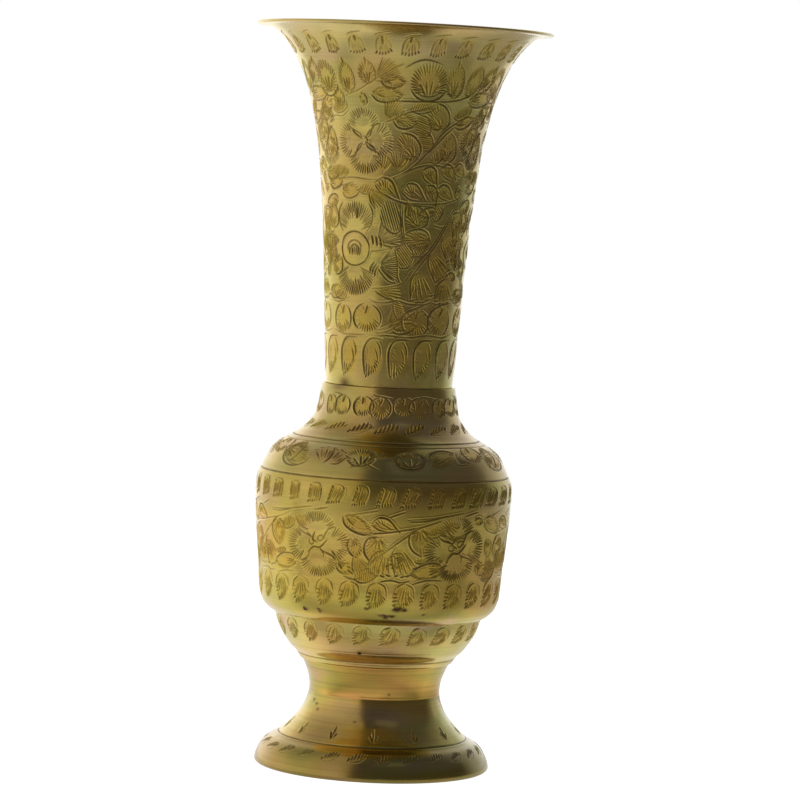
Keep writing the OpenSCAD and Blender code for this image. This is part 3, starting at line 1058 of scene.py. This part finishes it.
def make_bowl(material):
    line = smooth_line(BOWL_STATIONS)
    wall = Wall(line, columns=1000, step=0.27)
    cut_bowl(wall)
    floor_z = FOOT_SEAM_Z + FLOOR_T
    over = section(
        wall.line[-1] - (0.1, 0),
        (BOWL_SPIGOT_R, BOWL_SEAM_Z),
        (BOWL_SPIGOT_R, BOWL_SEAM_Z + SPIGOT_H),
        (BOWL_SPIGOT_R - SPIGOT_WALL, BOWL_SEAM_Z + SPIGOT_H),
        *inner_face(line, floor_z + 0.5, BOWL_SEAM_Z - 2),
        (1, floor_z),
        step=2.5,
    )
    under = section(
        (1, FOOT_SEAM_Z),
        (BOWL_RING_R - SPIGOT_WALL, FOOT_SEAM_Z),
        (BOWL_RING_R - SPIGOT_WALL, FOOT_SEAM_Z - SPIGOT_H),
        (BOWL_RING_R, FOOT_SEAM_Z - SPIGOT_H),
        (BOWL_RING_R, FOOT_SEAM_Z),
        (BEAD_R - 0.6, FOOT_SEAM_Z),
        (BEAD_R - 0.15, FOOT_SEAM_Z + 0.6),
        step=2.5,
    )
    return build_casting("bowl_engraved", wall, [over, under], material, closed_floor=True)


def make_foot(material):
    line = smooth_line(FOOT_STATIONS)
    wall = Wall(line, columns=840, step=0.32)
    cut_foot(wall)
    rest = section(
        wall.line[-1] - (0.1, 0),
        (FOOT_SOCKET_R, FOOT_SEAM_Z),
        (FOOT_SOCKET_R, FOOT_SEAM_Z - SPIGOT_H - 2),
        *inner_face(line, 2, FOOT_SEAM_Z - SPIGOT_H - 3, 2.5),
        (FOOT_R - 3, 0),
        (FOOT_R - 1.2, 0),
        (FOOT_R - 0.8, 0.2),
    )
    return build_casting("foot_turned", wall, [rest], material)


# ---------------------------------------------------------------- materials


BLACK = (0, 0, 0)
WHITE = (1, 1, 1)
DIRT = (0.11, 0.07, 0.018)
SOOT = (0.10, 0.075, 0.02)
SCORCH = (0.13, 0.065, 0.03)
CRUST = (0.06, 0.035, 0.02)
LEAF_TINT = (1.0, 0.93, 0.64)
TARNISH = (
    (0.30, (0.62, 0.36, 0.30)),
    (0.42, (0.75, 0.45, 0.18)),
    (0.50, (0.62, 0.50, 0.14)),
    (0.58, (0.38, 0.46, 0.12)),
    (0.68, (0.55, 0.36, 0.34)),
)


def solid(colour):
    """A colour with full opacity added, or the socket as it is."""
    return (*colour, 1) if isinstance(colour, tuple) else colour


class Nodes:
    """A small helper that adds nodes to a material or world and links them."""

    def __init__(self, owner):
        owner.use_nodes = True
        self.tree = owner.node_tree
        self.shader = self.tree.nodes.get("Principled BSDF")

    def look(self, **inputs):
        """Sets the shader's inputs, with an underscore in a name for a space."""
        for key, value in inputs.items():
            self.set(self.shader.inputs[key.replace("_", " ")], value)

    def add(self, kind, inputs=None, **settings):
        node = self.tree.nodes.new(kind)
        for key, value in settings.items():
            setattr(node, key, value)
        for key, value in (inputs or {}).items():
            self.set(node.inputs[key], value)
        return node

    def set(self, socket, value):
        if isinstance(value, bpy.types.NodeSocket):
            self.tree.links.new(value, socket)
        else:
            socket.default_value = value

    def math(self, operation, a, b=0.0, clamp=False):
        return self.add("ShaderNodeMath", {0: a, 1: b}, operation=operation, use_clamp=clamp).outputs[0]

    def times(self, a, b, clamp=False):
        return self.math("MULTIPLY", a, b, clamp)

    def plus(self, a, b, clamp=False):
        return self.math("ADD", a, b, clamp)

    def mask(self, name):
        """One of the values from 0 to 1 that the castings carry at their vertices."""
        return self.add("ShaderNodeAttribute", attribute_name=name).outputs["Fac"]

    def mix(self, factor, a, b, blend="MIX"):
        node = self.add("ShaderNodeMix", data_type="RGBA", blend_type=blend)
        self.set(node.inputs[0], factor)
        self.set(node.inputs[6], solid(a))
        self.set(node.inputs[7], solid(b))
        return node.outputs[2]

    def noise(self, place, scale, detail=3.0, rough=0.5):
        return self.add(
            "ShaderNodeTexNoise",
            {"Vector": place, "Scale": scale, "Detail": detail, "Roughness": rough},
        ).outputs["Fac"]

    def ramp(self, value, *stops):
        node = self.add("ShaderNodeValToRGB", {"Fac": value})
        ramp = node.color_ramp
        for element, (position, colour) in zip(ramp.elements, (stops[0], stops[-1])):
            element.position, element.color = position, solid(colour)
        for position, colour in stops[1:-1]:
            ramp.elements.new(position).color = solid(colour)
        return node.outputs["Color"]

    def spread(self, value, low, high, to_low=0.0, to_high=1.0):
        """The value mapped from low..high to another range, and held there beyond its ends."""
        inputs = {"Value": value, "From Min": low, "From Max": high, "To Min": to_low, "To Max": to_high}
        return self.add("ShaderNodeMapRange", inputs).outputs[0]

    def axes(self, space):
        """X, Y and Z of the shaded point."""
        point = self.add("ShaderNodeTexCoord").outputs[space]
        return self.add("ShaderNodeSeparateXYZ", {"Vector": point}).outputs

    def stretched(self, x, y, z):
        place = self.add("ShaderNodeTexCoord").outputs["Object"]
        return self.add("ShaderNodeMapping", {"Vector": place, "Scale": (x, y, z)}).outputs["Vector"]


def brass(name, pale, deep, rainbow, roughness, lathe, bands=()):
    """Old lacquered brass: uneven olive gold, a rainbow tarnish, lathe lines, dark patina in the cuts.

    bands are (height, softness, tint, more) from the bottom up: the tint that holds from that height on,
    and how much more of the rainbow shows there."""
    material = bpy.data.materials.new(name)
    n = Nodes(material)
    place = n.stretched(1, 1, 1)
    rings = n.stretched(3, 3, 900)
    broad = n.noise(place, 28, 3)
    mottle = n.noise(place, 140, 4, 0.6)
    tone = n.mix(n.ramp(broad, (0.35, BLACK), (0.65, WHITE)), pale, deep)
    tone = n.mix(n.times(mottle, 0.35), tone, tuple(c * 0.72 for c in deep))
    hue = n.ramp(n.noise(n.stretched(1, 1, 2.4), 22, 2), *TARNISH)
    high = n.add("ShaderNodeSeparateXYZ", {"Vector": place}).outputs["Z"]
    tint = WHITE
    for z, soft, colour, more in bands:
        above = n.spread(high, (z - soft) * MM, (z + soft) * MM)
        tint = n.mix(above, tint, colour)
        rainbow = n.plus(rainbow, n.times(above, more))
    tone = n.mix(rainbow, tone, hue)
    tone = n.mix(1.0, tone, tint, "MULTIPLY")
    leaves = n.mask("leaf")
    warm = n.mix(1.0, tone, LEAF_TINT, "MULTIPLY")
    tone = n.mix(n.times(leaves, 0.8), tone, warm)
    line = n.noise(rings, 1.0, 2)
    tone = n.mix(n.times(n.math("SUBTRACT", line, 0.45, True), lathe), tone, SOOT)
    dirt = n.times(n.spread(n.mask("cut"), 0.1, 0.85), n.spread(leaves, 0.0, 1.0, 1.0, 0.75))
    dirt = n.times(dirt, n.plus(0.35, n.times(mottle, 0.75)), True)
    tone = n.mix(dirt, tone, DIRT)
    spot = n.mask("stain")
    ragged = n.plus(spot, n.times(n.math("SUBTRACT", n.noise(place, 900, 3), 0.5), 0.9))
    crust = n.ramp(ragged, (0.62, BLACK), (0.80, WHITE))
    crust = n.times(crust, n.math("GREATER_THAN", spot, 0.25))
    tone = n.mix(n.times(spot, 1.6, True), tone, SCORCH)
    tone = n.mix(crust, tone, CRUST)
    rough = n.plus(roughness, n.times(mottle, 0.12))
    rough = n.plus(rough, n.times(leaves, 0.1))
    rough = n.plus(rough, n.times(dirt, 0.25))
    rough = n.plus(rough, n.times(crust, 0.4), True)
    lines = n.add("ShaderNodeBump", {"Height": line, "Strength": 0.12, "Distance": 0.00004}).outputs[0]
    pits = {"Height": n.noise(place, 700, 3), "Strength": 0.14, "Distance": 0.00005, "Normal": lines}
    surface = n.add("ShaderNodeBump", pits).outputs[0]
    n.look(Base_Color=tone, Metallic=1.0, Roughness=rough, Normal=surface)
    return material


def spelter():
    """Brazing metal with burnt flux on it."""
    material = bpy.data.materials.new("brazing_spelter")
    n = Nodes(material)
    place = n.stretched(1, 1, 1)
    blotch = n.noise(place, 260, 4, 0.6)
    tone = n.mix(blotch, (0.42, 0.27, 0.08), (0.07, 0.045, 0.02))
    n.look(Base_Color=tone, Metallic=1.0, Roughness=n.plus(0.35, n.times(blotch, 0.3)))
    return material


# ---------------------------------------------------------------- camera, floor and light


def add_camera():
    """The photograph's view: a long lens from a little above, the camera rolled so that the vase leans."""
    data = bpy.data.cameras.new("camera")
    data.lens = 166.6
    data.sensor_width = 36
    data.clip_end = 50
    camera = bpy.data.objects.new("camera", data)
    camera.location = (0, -1.5, 0.243)
    pitch, yaw, roll = 3.568, -0.184, 2.75
    matrix = (
        Euler((0, 0, math.radians(yaw))).to_matrix()
        @ Euler((math.radians(90 - pitch), 0, 0)).to_matrix()
        @ Euler((0, 0, math.radians(roll))).to_matrix()
    )
    camera.rotation_euler = matrix.to_euler()
    bpy.context.scene.collection.objects.link(camera)
    bpy.context.scene.camera = camera


def add_floor():
    """A pale round table top, white to the eye. For all other rays it glows with painted light: dim far in
    front, brighter towards the vase with a painted shade just in front of its foot, bright behind it, and
    dimmer to the right.
    """
    mesh = bpy.data.meshes.new("floor")
    ring = [(math.sin(a), math.cos(a), 0) for a in np.linspace(0, 2 * math.pi, 128, endpoint=False)]
    mesh.from_pydata(ring, [], [list(range(len(ring)))[::-1]])
    material = bpy.data.materials.new("pale_floor")
    n = Nodes(material)
    place = n.axes("Object")
    # Painted light and shade: the floor's glow is set by place, with a painted shade just in front of the
    # vase and less glow to the right.
    painted_glow_levels = ((0, 0.02), (0.3, 0.12), (0.6, 0.38), (0.8, 0.58), (0.88, 0.38), (0.94, 0.26), (1, 0.8))
    front = n.ramp(n.spread(place["Y"], -1, 0), *[(at, (v, v, v)) for at, v in painted_glow_levels])
    painted_glow = n.times(front, n.spread(place["X"], 0.03, 0.2, 1, 0.34))
    seen = n.add("ShaderNodeLightPath").outputs["Is Camera Ray"]
    n.look(Base_Color=(0.4, 0.4, 0.4, 1), Roughness=0.9, Emission_Color=solid(WHITE))
    n.look(Emission_Strength=n.math("MAXIMUM", painted_glow, seen))
    mesh.materials.append(material)
    floor = bpy.data.objects.new("floor", mesh)
    bpy.context.scene.collection.objects.link(floor)


ROOM_LEVEL = (
    (0.0, (0.94, 0.94, 0.9)),
    (0.10, (0.97, 0.96, 0.92)),
    (0.16, (0.70, 0.69, 0.64)),
    (0.24, (0.64, 0.63, 0.57)),
    (0.32, (0.56, 0.54, 0.47)),
    (0.41, (0.50, 0.47, 0.38)),
    (0.428, (0.44, 0.40, 0.30)),
    (0.445, (0.068, 0.062, 0.05)),
    (0.80, (0.068, 0.062, 0.05)),
    (0.84, (0.29, 0.32, 0.36)),
    (1.0, (0.90, 0.94, 1.0)),
)
ROOM_ABOVE = (
    (0.0, (0.66, 0.66, 0.64)),
    (0.10, (0.62, 0.61, 0.58)),
    (0.16, (0.50, 0.49, 0.45)),
    (0.24, (0.60, 0.59, 0.53)),
    (0.32, (0.66, 0.64, 0.55)),
    (0.41, (0.57, 0.53, 0.43)),
    (0.428, (0.50, 0.45, 0.34)),
    (0.445, (0.09, 0.094, 0.13)),
    (0.6, (0.135, 0.145, 0.2)),
    (0.81, (0.135, 0.145, 0.2)),
    (0.86, (0.24, 0.26, 0.3)),
    (1.0, (0.64, 0.65, 0.66)),
)


def add_light():
    """A room seen in the brass: bright on the left and behind, dark from the camera round to the right.

    Each list above goes once round the room from behind, by the left, the camera and the right."""
    world = bpy.data.worlds.new("studio")
    bpy.context.scene.world = world
    n = Nodes(world)
    n.tree.nodes.clear()
    way = n.axes("Generated")
    front = n.times(way["Y"], -1.0)
    around = n.spread(n.math("ARCTAN2", way["X"], front), -math.pi, math.pi)
    upwards = n.spread(way["Z"], 0.3, 0.8)
    room = n.mix(upwards, n.ramp(around, *ROOM_LEVEL), n.ramp(around, *ROOM_ABOVE))
    dimmed = n.add("ShaderNodeVectorMath", operation="SCALE")
    n.set(dimmed.inputs[0], room)
    n.set(dimmed.inputs["Scale"], n.spread(way["Z"], 0.2, 0.85, 1.6, 0.8))
    reflected = n.add("ShaderNodeBackground", {"Color": dimmed.outputs["Vector"]})
    white = n.add("ShaderNodeBackground", {"Color": (1, 1, 1, 1)})
    seen = n.add("ShaderNodeLightPath").outputs["Is Camera Ray"]
    mixed = n.add("ShaderNodeMixShader", {0: seen, 1: reflected.outputs[0], 2: white.outputs[0]})
    n.add("ShaderNodeOutputWorld", {"Surface": mixed.outputs[0]})


def add_softbox(name, place, size, power):
    """A soft lamp that looks at the middle of the vase."""
    light = bpy.data.lights.new(name, "AREA")
    light.shape = "RECTANGLE"
    light.size, light.size_y = size
    light.energy = power
    lamp = bpy.data.objects.new(name, light)
    lamp.location = place
    aim = Vector((0, 0, 0.15)) - Vector(place)
    lamp.rotation_euler = aim.to_track_quat("-Z", "Y").to_euler()
    bpy.context.scene.collection.objects.link(lamp)


add_camera()
add_floor()
add_light()
add_softbox("ceiling_lamp", place=(0.36, -0.62, 1.1), size=(0.6, 0.3), power=0.06)

# Each casting's look: pale and deep brass, rainbow, roughness, lathe lines, and its bands from the bottom up

NECK_LIP = (285, 3, (1.05, 1.0, 1.15), 0.0)
BELLY_LOW = (80, 7, (0.9, 0.9, 0.9), -0.25)
BELLY_HIGH = (107, 4, (0.7, 0.73, 0.82), 0.0)
FOOT_LOW = (12.7, 0.2, (1.25, 1.28, 1.2), 0.05)
FOOT_HIGH = (30.2, 0.2, (1.4, 1.14, 0.92), 0.3)

NECK_LOOK = ((0.69, 0.555, 0.20), (0.51, 0.385, 0.10), 0.2, 0.19, 0.5, (NECK_LIP,))
SHOULDER_LOOK = ((0.57, 0.43, 0.16), (0.41, 0.29, 0.09), 0.2, 0.18, 0.5)
BELLY_LOOK = ((0.87, 0.64, 0.16), (0.70, 0.46, 0.08), 0.45, 0.18, 0.4, (BELLY_LOW, BELLY_HIGH))
BOWL_LOOK = ((0.95, 0.71, 0.26), (0.80, 0.57, 0.18), 0.45, 0.16, 0.5)
FOOT_LOOK = ((0.39, 0.285, 0.082), (0.29, 0.20, 0.05), 0.2, 0.14, 0.85, (FOOT_LOW, FOOT_HIGH))

castings = (
    ("neck", "brass_neck", make_neck, NECK_LOOK),
    ("shoulder", "brass_shoulder", make_shoulder, SHOULDER_LOOK),
    ("belly", "brass_belly", make_belly, BELLY_LOOK),
    ("bowl", "brass_bowl", make_bowl, BOWL_LOOK),
    ("foot", "brass_foot", make_foot, FOOT_LOOK),
)
for node, slot, make, finish in castings:
    piece = make(brass(slot, *finish))
    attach(piece, "root")
    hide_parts(node)

braze = spelter()
for node in ("neck_braze", "shoulder_braze", "belly_braze", "foot_braze"):
    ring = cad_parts[node]
    for material_slot in ring.material_slots:
        material_slot.material = braze

bpy.context.scene.view_settings.view_transform = "Standard"
